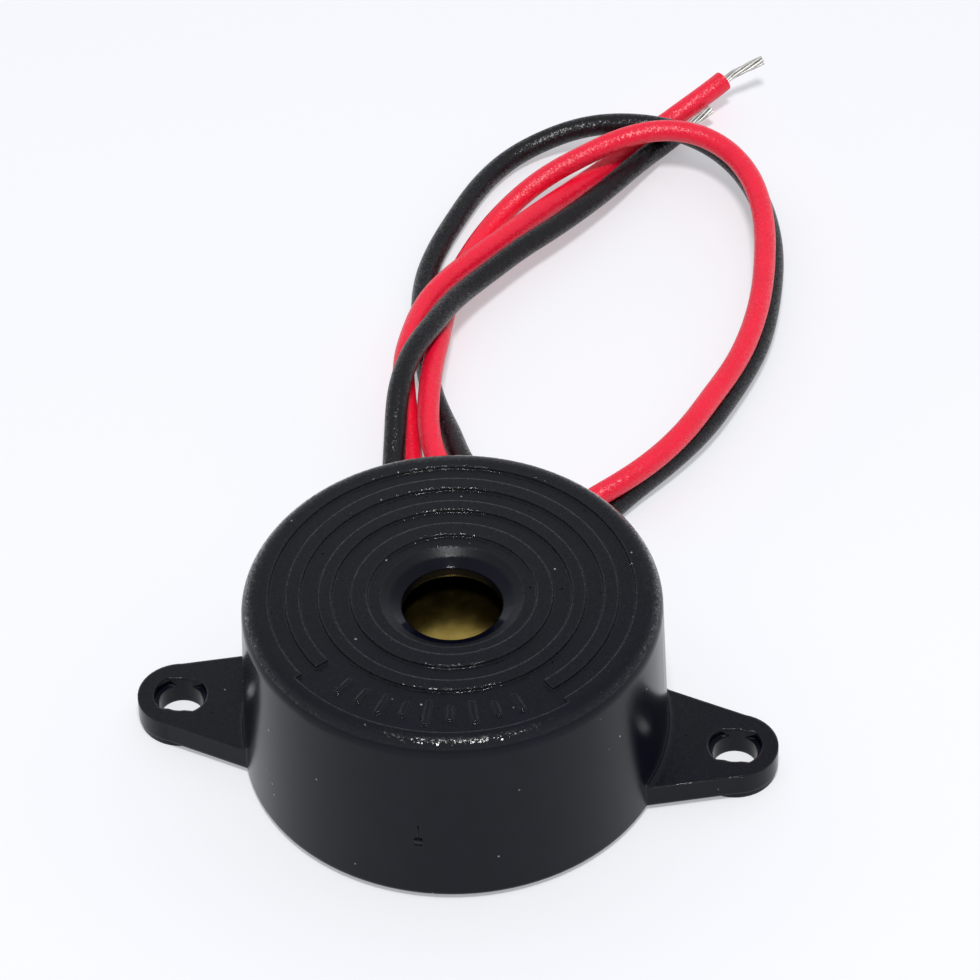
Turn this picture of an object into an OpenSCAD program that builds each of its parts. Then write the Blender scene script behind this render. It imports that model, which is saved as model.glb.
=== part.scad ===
// Piezo buzzer with built-in drive circuit: a round black sounder with two
// fixing ears, a stepped front face with a funnel-shaped sound port, and two
// stranded leads that leave through a notch at the back edge of the housing.
// The ears lie along X, the leads leave towards +Y, and the feet stand on Z = 0.

/* [Housing] */
// Diameter of the housing at the top of its wall
body_d = 22; // [21:0.5:30]
// Height from the surface that the feet stand on to the front face
total_h = 11.2; // [10.9:0.1:16]
// Growth of the wall's radius from top to bottom, for mould release
wall_draft = 0.3; // [0:0.05:0.5]
// Thickness of the wall beside the circuit board
wall_t = 1; // [0.8:0.1:1.3]
// Radius of the round between wall and front face
rim_round = 1; // [0.4:0.1:1.1]
// Thickness of the front face
face_t = 1.4; // [1.2:0.1:2]
// Height of the feet below the body's bottom edge
foot_h = 0.4; // [0.2:0.1:0.8]
// Thickness of the back cover
cover_t = 0.8; // [0.6:0.1:1]

/* [Front face] */
// Diameter of the sound hole
port_d = 5.3; // [3:0.1:6.4]
// Diameter at the top of the sound port's funnel
funnel_d = 7.5; // [6.6:0.1:9]
// Depth of the funnel below the groove floor
funnel_depth = 0.6; // [0.3:0.05:0.8]
// Depth of the ring grooves and of the panel
groove_depth = 0.2; // [0.1:0.05:0.35]
// Width of the plain panel, measured along a radius
panel_w = 2.9; // [2:0.1:4]
// Angle that the plain panel spans on the front side
panel_angle = 90; // [40:5:120]
// Number of raised bars on the panel
panel_bars = 9; // [1:2:11]

/* [Ears] */
// Distance from the wall to the centre of each ear hole
ear_offset = 3.9; // [3:0.1:8]
// Diameter of the screw hole in each ear
ear_hole_d = 2.4; // [2:0.1:3]
// Width of material around the screw hole
ear_land = 1.1; // [0.8:0.1:1.6]
// Width of each ear where it leaves the wall
ear_root_w = 7.2; // [6:0.2:9]
// Thickness of the ear plate
ear_t = 1.3; // [1:0.1:2]
// Depth of the flat-sided recess at the top of each screw hole
ear_recess_depth = 0.5; // [0.2:0.1:0.8]

/* [Inside] */
// Diameter of the brass diaphragm
diaphragm_d = 18; // [15:0.1:18.6]
// Width of the bare brass rim around the ceramic disc
brass_rim = 2.8; // [2.5:0.1:3.4]
// Height of the sound chamber above the diaphragm
chamber_h = 1.6; // [1:0.1:1.8]
// Thickness of the circuit board
board_t = 1; // [0.6:0.1:1.2]
// Height of the winding's drum core
drum_h = 3.2; // [2.5:0.1:3.4]
// Diameter of the winding's drum core
drum_d = 6; // [5:0.1:6.4]

/* [Leads] */
// Outside diameter of each lead's insulation
lead_d = 1.25; // [0.9:0.05:1.25]
// Diameter of the tinned conductor
conductor_d = 0.5; // [0.3:0.05:0.55]
// Gap between the two leads in the notch
lead_gap = 0.25; // [0.2:0.05:0.4]

/* [Hidden] */

$fn = 96;
// How far a cut runs on into empty space
over = 1;
// Clearance on each side between pieces that slide into each other
fit = 0.15;

// Heights, from the feet upwards
cover_top = foot_h + cover_t;
lead_headroom = 0.25;
board_z = cover_top + lead_d + lead_headroom;
board_top = board_z + board_t;
copper_t = 0.04;
pad_top = board_top + copper_t;
lead_pad_z = board_z - copper_t;
lead_exit_z = (cover_top + board_z) / 2;
face_inner_z = total_h - face_t;
disc_t = 0.2;
disc_top = face_inner_z - chamber_h;
disc_bottom = disc_top - disc_t;
ceramic_t = 0.2;
ceramic_z = disc_bottom - ceramic_t;
electrode_t = 0.06;
electrode_z = ceramic_z - electrode_t;

// Radii of the housing, from outside to inside
body_r = body_d / 2;
base_r = body_r + wall_draft;
rim_r = body_r - rim_round;
bore_r = body_r - wall_t;
board_r = bore_r - fit;
disc_r = diaphragm_d / 2;
bond_gap = 0.3;
seat_r = disc_r + bond_gap;
board_ledge_w = 0.7;
room_r = bore_r - board_ledge_w;
ledge_w = 0.8;
chamber_r = disc_r - ledge_w;
bead_w = 0.5;
bead_h = 0.4;
bead_z = disc_bottom - bead_h;
seat_z = bead_z - 0.3;
ceramic_r = disc_r - brass_rim;
electrode_margin = 0.6;
electrode_r = ceramic_r - electrode_margin;

// Front face: ring grooves as [outer, inner] distance in from the rim's round,
// the dish around the port, and the chamfer on every edge of the grooves
grooves = [[0.45, 1.3], [2.1, 3], [3.75, 4.7]];
dish_r = funnel_d / 2 + 0.65;
edge_break = 0.05;
groove_z = total_h - groove_depth;
panel_out = rim_r - 0.05;
panel_in = panel_out - panel_w;
bar_w = 0.32;
bar_raise = 0.12;
bar_root = 0.3;
bar_long = 1.5;
bar_taper = 0.12;
bar_short = 0.8;
bars_share = 0.8;

// Notch for the leads, at the back edge
lead_pitch = lead_d + lead_gap;
lead_x = lead_pitch / 2;
notch_side = 0.325;
notch_w = lead_pitch + lead_d + 2 * notch_side;
notch_top = lead_exit_z + lead_d / 2 + 0.225;
seal_w = notch_w - 2 * fit;

// Ear outline: straight sides that run into the round end, a few degrees off
// the tangent
ear_x = body_r + ear_offset;
ear_end_r = ear_hole_d / 2 + ear_land;
foot_r = ear_end_r - 0.1;
ear_top = foot_h + ear_t;
ear_fillet = 0.3;
ear_sink = 0.75;
ear_root_y = ear_root_w / 2;
ear_side_r = 0.985 * ear_end_r;
ear_reach = norm([ear_offset, ear_root_y]);
ear_lean = atan2(ear_root_y, ear_offset) - asin(ear_side_r / ear_reach);
ear_recess_l = ear_hole_d + 0.45;
ear_recess_w = ear_hole_d - 0.15;

// Board layout, seen from above
wire_pads = [[-6.8, -4], [-5.2, -5.4], [5.6, -5]];
wire_pad_r = 0.8;
resistor_places = [[-2.9, -6.4], [0, -6.9], [2.9, -6.4]];
resistor_size = [1.5, 1.25, 0.5];
resistor_cap = 0.3;
resistor_pad = [0.8, 1.4, copper_t];
resistor_pad_x = 0.85;
transistor_at = [0, -3.2];
transistor_size = [2.9, 1.3, 1];
transistor_lift = 0.1;
transistor_pad = [0.8, 0.9, copper_t];
transistor_feet = [[-0.95, -1.2], [0.95, -1.2], [0, 1.2]];
leg_w = 0.4;
leg_t = 0.12;
leg_run = 0.45;
leg_top = 0.6;
drum_at = [0, 3.6];
drum_r = drum_d / 2;
drum_flange_t = 0.7;
drum_waist_r = drum_r - 1.4;
winding_r = drum_r - 0.4;
terminal_size = [1, 1.6, 0.16];
terminal_pad = [1.4, 2, copper_t];
terminal_x = drum_r - 0.9;
drum_z = pad_top + terminal_size[2];
joint_r = 0.6;
joint_h = 0.35;
piezo_wire_d = 0.4;

// Leads under the board: where each insulation ends, and its solder joint
lead_end_y = bore_r - 2;
lead_pad_y = lead_end_y - 2.1;
lead_pad_gap = 0.2;
lead_pad_r = (lead_pitch - lead_pad_gap) / 2;
lead_joint_r = lead_pad_r - 0.05;
root_end_y = lead_pad_y - 0.9;
joint_cover = 0.15;

// Feedback tongue, which lies in a slot of the main electrode
tongue_w = 2.6;
tongue_in = 1.6;
tongue_out = electrode_r - 0.5;
tongue_gap = 0.4;
disc_joints = [
    [-(ceramic_r + disc_r - bead_w) / 2, 0, disc_bottom],
    [-0.6 * electrode_r, 0, electrode_z],
    [(tongue_in + tongue_out) / 2, 0, electrode_z]
];

// Centre lines of the leads, measured from the back of the wall: out of the
// notch, over the returning run, round one open loop, back behind the housing
// and out to the end
red_route = [
    [-lead_x, lead_end_y - body_r, lead_exit_z], [-lead_x, 0.6, lead_exit_z],
    [-1.3, 3.2, 2], [-2.6, 5.9, 2], [-4.1, 8.7, 1.95], [-4.8, 10.8, 1.95],
    [-5.2, 13.2, 1.95], [-5.4, 15.8, 1.95], [-5.45, 19.1, 1.6],
    [-5.6, 22.4, 0.8], [-5.4, 25, 0.65], [-5, 26.9, 0.65], [-4.4, 28.7, 0.8],
    [-3.2, 30.8, 1.3], [-2, 32.1, 1.9], [-0.7, 33.2, 2.4], [0.6, 34, 2.8],
    [1.9, 34.9, 3.1], [4.3, 36.1, 3.4], [6.7, 36.4, 3.4], [9, 35.4, 3.2],
    [10.8, 33.1, 3], [11.8, 30.2, 2.8], [12.3, 26.6, 2.6], [12.4, 23.2, 2.5],
    [11.7, 18.2, 2.4], [10.5, 14.7, 2.4], [9.5, 12.1, 2.4], [8.1, 9.7, 2.3],
    [6.6, 7.9, 2.15], [5, 6.6, 1.8], [3.4, 5.6, 1.2], [1.6, 4.9, 0.75],
    [-0.4, 4.5, 0.65], [-2.6, 4.8, 0.65], [-4.3, 6.2, 0.65], [-5.3, 8.3, 0.65],
    [-5.9, 10.8, 0.7], [-6.6, 13.7, 1.3], [-6.9, 14.9, 1.65], [-7.1, 16.2, 1.9],
    [-7, 18.1, 2], [-6.7, 20.7, 2], [-6.1, 22.5, 2], [-5.2, 24.1, 2],
    [-3.2, 27.2, 1.9], [-1, 30.7, 1.6], [0.6, 33.1, 1.35], [2.1, 35.6, 1],
    [3.4, 38, 0.75], [4.8, 40, 0.75], [6.4, 41.4, 1.4], [8, 42.9, 2]
];
black_route = [
    [lead_x, lead_end_y - body_r, lead_exit_z], [lead_x, 0.6, lead_exit_z],
    [0.4, 3.2, 2], [-0.8, 6, 1.9], [-2.8, 9.3, 1.4], [-3.7, 11.6, 0.95],
    [-4.6, 13.5, 0.65], [-5.3, 15.1, 0.65], [-5.9, 17, 0.65],
    [-6.5, 19.5, 0.65], [-7, 22.1, 0.65], [-7.2, 24.2, 0.65], [-7, 26.7, 0.65],
    [-6.2, 30.2, 0.65], [-5, 33.8, 0.65], [-3.6, 36, 0.8], [-1.8, 37.3, 1.2],
    [0.1, 38, 1.7], [2.1, 38.15, 2.1], [4.2, 38, 2.3], [6.2, 37.7, 2.2],
    [8.3, 37, 1.75], [10.2, 35.3, 1.3], [11.6, 32.6, 1.1], [12.5, 29.2, 1.1],
    [12.8, 25.8, 1.1], [12.5, 20.3, 1.1], [11.6, 17, 1.1], [10.2, 13.3, 1.1],
    [8.4, 10.3, 1], [6.6, 7.9, 0.8], [5.5, 6.2, 0.65], [4.4, 4.7, 0.65],
    [2.8, 3.5, 0.65], [0.8, 2.9, 0.65], [-1.8, 2.7, 0.65], [-4.2, 3.4, 0.65],
    [-5.8, 5.4, 0.9], [-6.4, 8.1, 1.4], [-6.6, 10.2, 2.15], [-6.8, 12.2, 2.8],
    [-6.7, 14.3, 3.1], [-6.4, 16.2, 3.15], [-5.8, 18, 3.05], [-5.3, 19.8, 2.85],
    [-4.4, 22.1, 2.45], [-3.2, 24.1, 2.3], [-1.9, 26.2, 2.2], [-0.4, 28.2, 2.1],
    [2, 32, 1.8], [4.1, 36.3, 1.2], [5, 37.97, 0.95], [5.7, 39, 0.95]
];
// Where the bare conductors end, and how far they run straight on at first
red_tip_end = [10.2, 44.5, 2.6];
black_tip_end = [7.5, 41, 1.4];
tip_straight = 0.8;

// Sweep of a regular polygon along a list of points
function unit(v) = v / norm(v);
function run_dir(p, i) = i == 0 ? unit(p[1] - p[0])
    : i == len(p) - 1 ? unit(p[i] - p[i - 1])
    : unit(unit(p[i + 1] - p[i]) + unit(p[i] - p[i - 1]));
function ring(c, t, r, n, up) = let (s = unit(cross(t, up)), u = cross(s, t))
    [for (k = [0 : n - 1]) c + r * (cos(360 * k / n) * s + sin(360 * k / n) * u)];

// The route never runs along up, which only sets how the sides are turned
module tube(route, d, up = [0, 0, 1]) {
    sides = 8;
    last = len(route) - 1;
    points = [
        for (i = [0 : last])
            each ring(route[i], run_dir(route, i), d / 2, sides, up)
    ];
    walls = [
        for (i = [0 : last - 1], k = [0 : sides - 1])
            let (a = i * sides + k, b = i * sides + (k + 1) % sides)
                [a, b, b + sides, a + sides]
    ];
    start_cap = [for (k = [sides - 1 : -1 : 0]) k];
    end_cap = [for (k = [0 : sides - 1]) last * sides + k];
    polyhedron(points, concat([start_cap], walls, [end_cap]), convexity = 10);
}

// A lead's route continued by its bare tip
function tip_route(route, stop) = let (
    last = len(route) - 1,
    start = route[last]
) [start, start + tip_straight * unit(start - route[last - 1]), stop];

// Block centred on a point of the board, standing on a height
module block(at, size, z) {
    translate([at[0] - size[0] / 2, at[1] - size[1] / 2, z])
        cube(size);
}

// Flat ring between two heights
module washer(outer_r, inner_r, z_low, z_high) {
    rotate_extrude()
        translate([inner_r, z_low])
            square([outer_r - inner_r, z_high - z_low]);
}

module disc(r, z_low, z_high) {
    translate([0, 0, z_low])
        cylinder(r = r, h = z_high - z_low);
}

// Ring groove in the front face, with a chamfer along both edges
module groove_cut(outer_r, inner_r) {
    flare = edge_break + over;
    rotate_extrude()
        polygon([
            [inner_r, groove_z], [outer_r, groove_z],
            [outer_r, total_h - edge_break], [outer_r + flare, total_h + over],
            [inner_r - flare, total_h + over], [inner_r, total_h - edge_break]
        ]);
}

// Wedge about -Y, with its straight sides a fixed angle apart
module front_sector(angle, z_low, z_high) {
    reach = 3 * body_r;
    steps = 6;
    translate([0, 0, z_low])
        linear_extrude(z_high - z_low)
            polygon(concat([[0, 0]], [
                for (i = [0 : steps])
                    let (a = -90 - angle / 2 + angle * i / steps)
                        reach * [cos(a), sin(a)]
            ]));
}

module shell_section() {
    polygon([
        [0, foot_h], [base_r, foot_h], [body_r, total_h - rim_round],
        [rim_r, total_h], [0, total_h]
    ]);
    translate([rim_r, total_h - rim_round])
        circle(r = rim_round);
}

module bore_section() {
    polygon([
        [0, foot_h - over], [bore_r, foot_h - over], [bore_r, board_top],
        [room_r, board_top], [room_r, seat_z], [seat_r, seat_z],
        [seat_r, disc_top], [chamber_r, disc_top], [chamber_r, face_inner_z],
        [0, face_inner_z]
    ]);
}

module port_section() {
    port_r = port_d / 2;
    polygon([
        [0, face_inner_z - over], [port_r, face_inner_z - over],
        [port_r, groove_z - funnel_depth], [funnel_d / 2, groove_z],
        [dish_r, groove_z], [dish_r, total_h - edge_break],
        [dish_r + edge_break + over, total_h + over], [0, total_h + over]
    ]);
}

module ear_outline() {
    meet = [ear_x + ear_side_r * sin(ear_lean), ear_side_r * cos(ear_lean)];
    inner = [body_r - ear_sink, ear_root_y + ear_sink * tan(ear_lean)];
    polygon([
        [inner[0], -inner[1]], [meet[0], -meet[1]], [ear_x, 0], meet, inner
    ]);
    translate([ear_x, 0])
        circle(r = ear_end_r);
}

// Hollow round in the corner between the wall and the top of an ear
module ear_fillet_ring() {
    rotate_extrude()
        difference() {
            translate([body_r - ear_fillet, ear_top - ear_fillet])
                square([base_r - body_r + 2 * ear_fillet, 2 * ear_fillet]);
            translate([base_r + ear_fillet, ear_top + ear_fillet])
                circle(r = ear_fillet);
        }
}

module ear() {
    translate([0, 0, foot_h])
        linear_extrude(ear_t)
            ear_outline();
    intersection() {
        linear_extrude(ear_top + ear_fillet)
            ear_outline();
        ear_fillet_ring();
    }
    translate([ear_x, 0, 0])
        cylinder(r = foot_r, h = foot_h + ear_t / 2);
}

module ear_cuts() {
    translate([ear_x, 0, -over])
        cylinder(d = ear_hole_d, h = ear_top + 2 * over);
    intersection() {
        translate([ear_x, 0, ear_top - ear_recess_depth])
            cylinder(d = ear_recess_l, h = ear_recess_depth + over);
        block([ear_x, 0], [2 * ear_recess_l, ear_recess_w, total_h], 0);
    }
}

// Rounded bars of different length that stand on the plain panel
module panel_motif() {
    half = (panel_bars - 1) / 2;
    step = bars_share * panel_angle / panel_bars;
    for (i = [-half : half]) {
        bar_l = i % 2 == 0 ? bar_long - bar_taper * abs(i) : bar_short;
        rotate([0, 0, i * step])
            translate([0, -(panel_in + panel_out) / 2, groove_z - bar_root])
                linear_extrude(bar_root + bar_raise) {
                    square([bar_w, bar_l], center = true);
                    for (side = [-1, 1])
                        translate([0, side * bar_l / 2])
                            circle(d = bar_w, $fn = 24);
                }
    }
}

module housing() {
    color("#232428") {
        difference() {
            union() {
                rotate_extrude()
                    shell_section();
                ear();
                mirror([1, 0, 0])
                    ear();
            }
            rotate_extrude()
                bore_section();
            rotate_extrude()
                port_section();
            for (g = grooves)
                groove_cut(rim_r - g[0], rim_r - g[1]);
            intersection() {
                groove_cut(panel_out, panel_in);
                front_sector(panel_angle, 0, total_h + 2 * over);
            }
            ear_cuts();
            mirror([1, 0, 0])
                ear_cuts();
            translate([-notch_w / 2, 0, foot_h - over])
                cube([notch_w, base_r + over, notch_top - foot_h + over]);
        }
        panel_motif();
    }
}

// Plate with a raised rim that holds the board up, and a tab in the notch
module back_cover() {
    rim_w = 0.95;
    gate_w = notch_w + 0.6;
    tab_in = board_r - rim_w;
    color("#1b1c1f") {
        difference() {
            union() {
                disc(board_r, foot_h, cover_top);
                washer(board_r, tab_in, foot_h, board_z);
            }
            translate([-gate_w / 2, 0, cover_top])
                cube([gate_w, base_r, board_z]);
        }
        translate([-seal_w / 2, tab_in, foot_h])
            cube([seal_w, base_r - wall_draft - tab_in, cover_t]);
    }
}

module circuit_board() {
    color("#2c6b3f")
        disc(board_r, board_z, board_top);
}

module copper_pads() {
    color("#b87a4b") {
        for (p = wire_pads)
            translate([p[0], p[1], board_top])
                cylinder(r = wire_pad_r, h = copper_t);
        for (p = resistor_places, side = [-1, 1])
            block(p + [side * resistor_pad_x, 0], resistor_pad, board_top);
        for (f = transistor_feet)
            block(transistor_at + f, transistor_pad, board_top);
        for (side = [-1, 1])
            block(drum_at + [side * terminal_x, 0], terminal_pad, board_top);
        for (side = [-1, 1])
            translate([side * lead_x, lead_pad_y, lead_pad_z])
                cylinder(r = lead_pad_r, h = copper_t);
    }
}

module transistor_body() {
    color("#202020")
        block(transistor_at, transistor_size, pad_top + transistor_lift);
}

// Each leg is a foot on its pad, a riser and a short run into the body
module transistor_legs() {
    body_y = transistor_size[1] / 2;
    color("silver")
        for (f = transistor_feet) {
            out = f[1] > 0 ? 1 : -1;
            foot = transistor_at + f;
            riser = transistor_at + [f[0], out * (body_y + leg_run - leg_t / 2)];
            run = transistor_at + [f[0], out * (body_y + leg_run / 2)];
            block(foot, [leg_w, 0.6, leg_t], pad_top);
            block(riser, [leg_w, leg_t, leg_top], pad_top);
            block(run, [leg_w, leg_run, leg_t], pad_top + leg_top - leg_t);
        }
}

module resistor_body(index) {
    color("#26262a")
        block(resistor_places[index], resistor_size, pad_top);
}

module resistor_ends(index) {
    cap_size = [resistor_cap, resistor_size[1], resistor_size[2]];
    cap_x = (resistor_size[0] + resistor_cap) / 2;
    color("silver")
        for (side = [-1, 1])
            block(resistor_places[index] + [side * cap_x, 0], cap_size, pad_top);
}

module inductor_core() {
    color("#3a3a3c")
        translate([drum_at[0], drum_at[1], 0]) {
            disc(drum_r, drum_z, drum_z + drum_flange_t);
            disc(drum_waist_r, drum_z, drum_z + drum_h);
            disc(drum_r, drum_z + drum_h - drum_flange_t, drum_z + drum_h);
        }
}

module inductor_winding() {
    color("#b5602c")
        translate([drum_at[0], drum_at[1], 0])
            washer(winding_r, drum_waist_r,
                   drum_z + drum_flange_t, drum_z + drum_h - drum_flange_t);
}

module inductor_terminals() {
    color("silver")
        for (side = [-1, 1])
            block(drum_at + [side * terminal_x, 0], terminal_size, pad_top);
}

// Fine wire from its joint on the board up to its joint on the disc
module piezo_wire(index, tint) {
    pad = wire_pads[index];
    start = [pad[0], pad[1], pad_top + joint_h];
    stop = disc_joints[index] - [0, 0, joint_h];
    span = stop - start;
    // How far along and how far up each point of the wire lies
    shares = [[0, 0], [0, 0.15], [0.2, 0.4], [0.5, 0.55], [0.8, 0.7], [1, 0.85], [1, 1]];
    color(tint)
        tube([
            for (s = shares)
                start + [s[0] * span[0], s[0] * span[1], s[1] * span[2]]
        ], piezo_wire_d, up = [1, 0, 0]);
}

module board_solder_joints() {
    color("silver")
        for (p = wire_pads)
            translate([p[0], p[1], pad_top])
                cylinder(r = joint_r, h = joint_h);
}

module disc_solder_joints() {
    color("silver")
        for (j = disc_joints)
            translate([j[0], j[1], j[2] - joint_h])
                cylinder(r = joint_r, h = joint_h);
}

module lead_solder_joints() {
    low = lead_exit_z - conductor_d / 2 - joint_cover;
    color("silver")
        for (side = [-1, 1])
            difference() {
                translate([side * lead_x, lead_pad_y, low])
                    cylinder(r = lead_joint_r, h = lead_pad_z - low);
                translate([side * lead_x, lead_end_y, lead_exit_z])
                    rotate([90, 0, 0])
                        cylinder(d = conductor_d, h = lead_end_y);
            }
}

module diaphragm_disc() {
    color("#c9a24a")
        disc(disc_r, disc_bottom, disc_top);
}

module piezo_ceramic() {
    color("#d9d2bd")
        disc(ceramic_r, ceramic_z, disc_bottom);
}

module main_electrode() {
    slot_w = tongue_w + 2 * tongue_gap;
    color("#c8c8c4")
        difference() {
            disc(electrode_r, electrode_z, ceramic_z);
            translate([tongue_in - tongue_gap, -slot_w / 2, electrode_z - over])
                cube([electrode_r, slot_w, 2 * over]);
        }
}

module feedback_electrode() {
    color("#c8c8c4")
        translate([tongue_in, -tongue_w / 2, electrode_z])
            cube([tongue_out - tongue_in, tongue_w, electrode_t]);
}

module diaphragm_adhesive() {
    color("#e6e6e2") {
        washer(seat_r, disc_r, bead_z, disc_top);
        washer(disc_r, disc_r - bead_w, bead_z, disc_bottom);
    }
}

module lead_sealant() {
    seal_in = bore_r - 1;
    seal_out = body_r;
    color("#d8d4c6")
        difference() {
            translate([-seal_w / 2, seal_in, cover_top])
                cube([seal_w, seal_out - seal_in, board_z - cover_top]);
            for (side = [-1, 1])
                translate([side * lead_x, seal_in - over, lead_exit_z])
                    rotate([-90, 0, 0])
                        cylinder(d = lead_d, h = seal_out - seal_in + 2 * over);
        }
}

module lead(route, tint) {
    color(tint)
        translate([0, body_r, 0])
            tube(route, lead_d);
}

// Both bare ends of one conductor: soldered under the board, and free
module conductor(route, tip_end, side) {
    color("silver") {
        translate([side * lead_x, lead_end_y, lead_exit_z])
            rotate([90, 0, 0])
                cylinder(d = conductor_d, h = lead_end_y - root_end_y);
        translate([0, body_r, 0])
            tube(tip_route(route, tip_end), conductor_d);
    }
}

housing();
back_cover();
circuit_board();
copper_pads();
transistor_body();
transistor_legs();
resistor_body(0);  // resistor_left_body
resistor_ends(0);  // resistor_left_ends
resistor_body(1);  // resistor_middle_body
resistor_ends(1);  // resistor_middle_ends
resistor_body(2);  // resistor_right_body
resistor_ends(2);  // resistor_right_ends
inductor_core();
inductor_winding();
inductor_terminals();
piezo_wire(0, "#b3202a");  // piezo_wire_red
piezo_wire(1, "#202020");  // piezo_wire_black
piezo_wire(2, "#2b4fa0");  // piezo_wire_blue
board_solder_joints();
disc_solder_joints();
lead_solder_joints();
diaphragm_disc();
piezo_ceramic();
main_electrode();
feedback_electrode();
diaphragm_adhesive();
lead_sealant();
lead(red_route, "#d8203a");  // red_lead
lead(black_route, "#26272a");  // black_lead
conductor(red_route, red_tip_end, -1);  // red_conductor
conductor(black_route, black_tip_end, 1);  // black_conductor
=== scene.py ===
"""Studio scene of a piezo buzzer: finishes, leads, table and light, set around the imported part."""

import logging
import math
from dataclasses import dataclass
from enum import Enum
from typing import Any, Sequence

import bmesh
import bpy
import numpy as np
from mathutils import Matrix, Vector


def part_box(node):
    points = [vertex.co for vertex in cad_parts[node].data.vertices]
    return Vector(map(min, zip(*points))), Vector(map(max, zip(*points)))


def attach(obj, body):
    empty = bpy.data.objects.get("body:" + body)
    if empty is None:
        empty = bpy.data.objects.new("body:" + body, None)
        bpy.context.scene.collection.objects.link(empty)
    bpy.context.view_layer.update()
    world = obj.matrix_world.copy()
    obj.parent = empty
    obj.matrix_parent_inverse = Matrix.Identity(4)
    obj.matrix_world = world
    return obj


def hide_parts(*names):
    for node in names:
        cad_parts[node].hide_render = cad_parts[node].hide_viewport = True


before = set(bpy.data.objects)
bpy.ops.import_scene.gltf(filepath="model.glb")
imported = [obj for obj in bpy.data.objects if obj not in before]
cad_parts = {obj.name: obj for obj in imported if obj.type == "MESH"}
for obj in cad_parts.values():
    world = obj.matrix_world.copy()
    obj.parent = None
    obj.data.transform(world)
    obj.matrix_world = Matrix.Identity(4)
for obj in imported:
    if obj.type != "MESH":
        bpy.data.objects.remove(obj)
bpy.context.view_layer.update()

LOG = logging.getLogger("piezo_buzzer")
MM = 0.001
BODY = "root"

# Radius of the wall at its foot, and height of the face.
HOUSING_LOW, HOUSING_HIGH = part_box("housing")
WALL_R_MM = -HOUSING_LOW[1] / MM
TOP_MM = HOUSING_HIGH[2] / MM
# Ranges of a noise over which one look turns into the other: narrow for clear patches, wide for soft ones.
CLEAR_PATCHES = (0.35, 0.65)
SOFT_PATCHES = (0.3, 0.7)
# Size of the patches of gloss, as a share of the mottling's.
SMEAR_SHARE = 0.6

Span = tuple[float, float]
Point = tuple[float, float, float]
Colour = tuple[float, float, float, float]


def linear(hex_colour: str) -> Colour:
    """Turns an sRGB hex colour into linear RGBA.

    Args:
        hex_colour: Colour as "#rrggbb".

    Returns:
        Linear red, green, blue and an alpha of 1.
    """
    channels = [int(hex_colour[i : i + 2], 16) / 255 for i in (1, 3, 5)]
    red, green, blue = (
        c / 12.92 if c <= 0.04045 else ((c + 0.055) / 1.055) ** 2.4 for c in channels
    )
    return red, green, blue, 1.0


def add_node(
    tree: bpy.types.NodeTree,
    kind: str,
    inputs: dict[str | int, Any] | None = None,
    **settings: Any,
) -> bpy.types.Node:
    """Adds a node with its settings, constant inputs and links.

    Args:
        tree: Node tree that gets the node.
        kind: Type of the node, as Blender names it after "ShaderNode".
        inputs: Constant number or colour, or the socket that is linked, by input.
        settings: Attributes of the node itself.

    Returns:
        The new node.
    """
    node = tree.nodes.new(f"ShaderNode{kind}")
    for name, value in settings.items():
        setattr(node, name, value)
    for name, value in (inputs or {}).items():
        if isinstance(value, bpy.types.NodeSocket):
            tree.links.new(value, node.inputs[name])
        else:
            node.inputs[name].default_value = value
    return node


def ranges(source: Span, target: Span = (0.0, 1.0)) -> dict[int, float]:
    """Gives the inputs with which a Map Range node maps one range onto another and clamps it there."""
    return dict(enumerate((*source, *target), start=1))


def scale_of(size_mm: float) -> float:
    """Gives the scale at which one patch of a pattern has a real size."""
    return 1 / (size_mm * MM)


def shown(tree: bpy.types.NodeTree) -> bpy.types.NodeSocket:
    """Picks the rays that show the background, straight to the camera or by way of metal or glass.

    Args:
        tree: Node tree that gets the nodes.

    Returns:
        1 for such a ray, 0 for the rest.
    """
    rays = add_node(tree, "LightPath").outputs
    share = rays["Is Camera Ray"]
    for kind in ("Is Glossy Ray", "Is Transmission Ray"):
        share = add_node(tree, "Math", {0: share, 1: rays[kind]}, operation="MAXIMUM").outputs[0]
    return share


def scattered(
    tree: bpy.types.NodeTree, place: bpy.types.NodeSocket, size_mm: float
) -> tuple[bpy.types.Node, bpy.types.NodeSocket]:
    """Divides space into cells of a real size and draws a random number for each.

    Args:
        tree: Node tree that gets the nodes.
        place: Position that the cells are read at.
        size_mm: Size of one cell.

    Returns:
        The node of the cells, and the number of the cell at each point.
    """
    cells = add_node(tree, "TexVoronoi", {"Vector": place, "Scale": scale_of(size_mm)})
    draw = add_node(
        tree, "TexWhiteNoise", {"Vector": cells.outputs["Position"]}, noise_dimensions="3D"
    )
    return cells, draw.outputs["Value"]


def lean_facets(
    tree: bpy.types.NodeTree,
    normal: bpy.types.NodeSocket,
    cells: bpy.types.Node,
    tilt: float | bpy.types.NodeSocket,
) -> bpy.types.NodeSocket:
    """Leans the normal of each cell its own way.

    Args:
        tree: Node tree that gets the nodes.
        normal: Normal to lean.
        cells: Node of the cells.
        tilt: How far the cells lean.

    Returns:
        The normal with its facets.
    """
    own_way = {0: cells.outputs["Color"], 1: (0.5, 0.5, 0.5)}
    lean = add_node(tree, "VectorMath", own_way, operation="SUBTRACT").outputs[0]
    short = add_node(tree, "VectorMath", {0: lean, "Scale": tilt}, operation="SCALE").outputs[0]
    total = add_node(tree, "VectorMath", {0: normal, 1: short}, operation="ADD").outputs[0]
    return add_node(tree, "VectorMath", {0: total}, operation="NORMALIZE").outputs[0]


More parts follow.
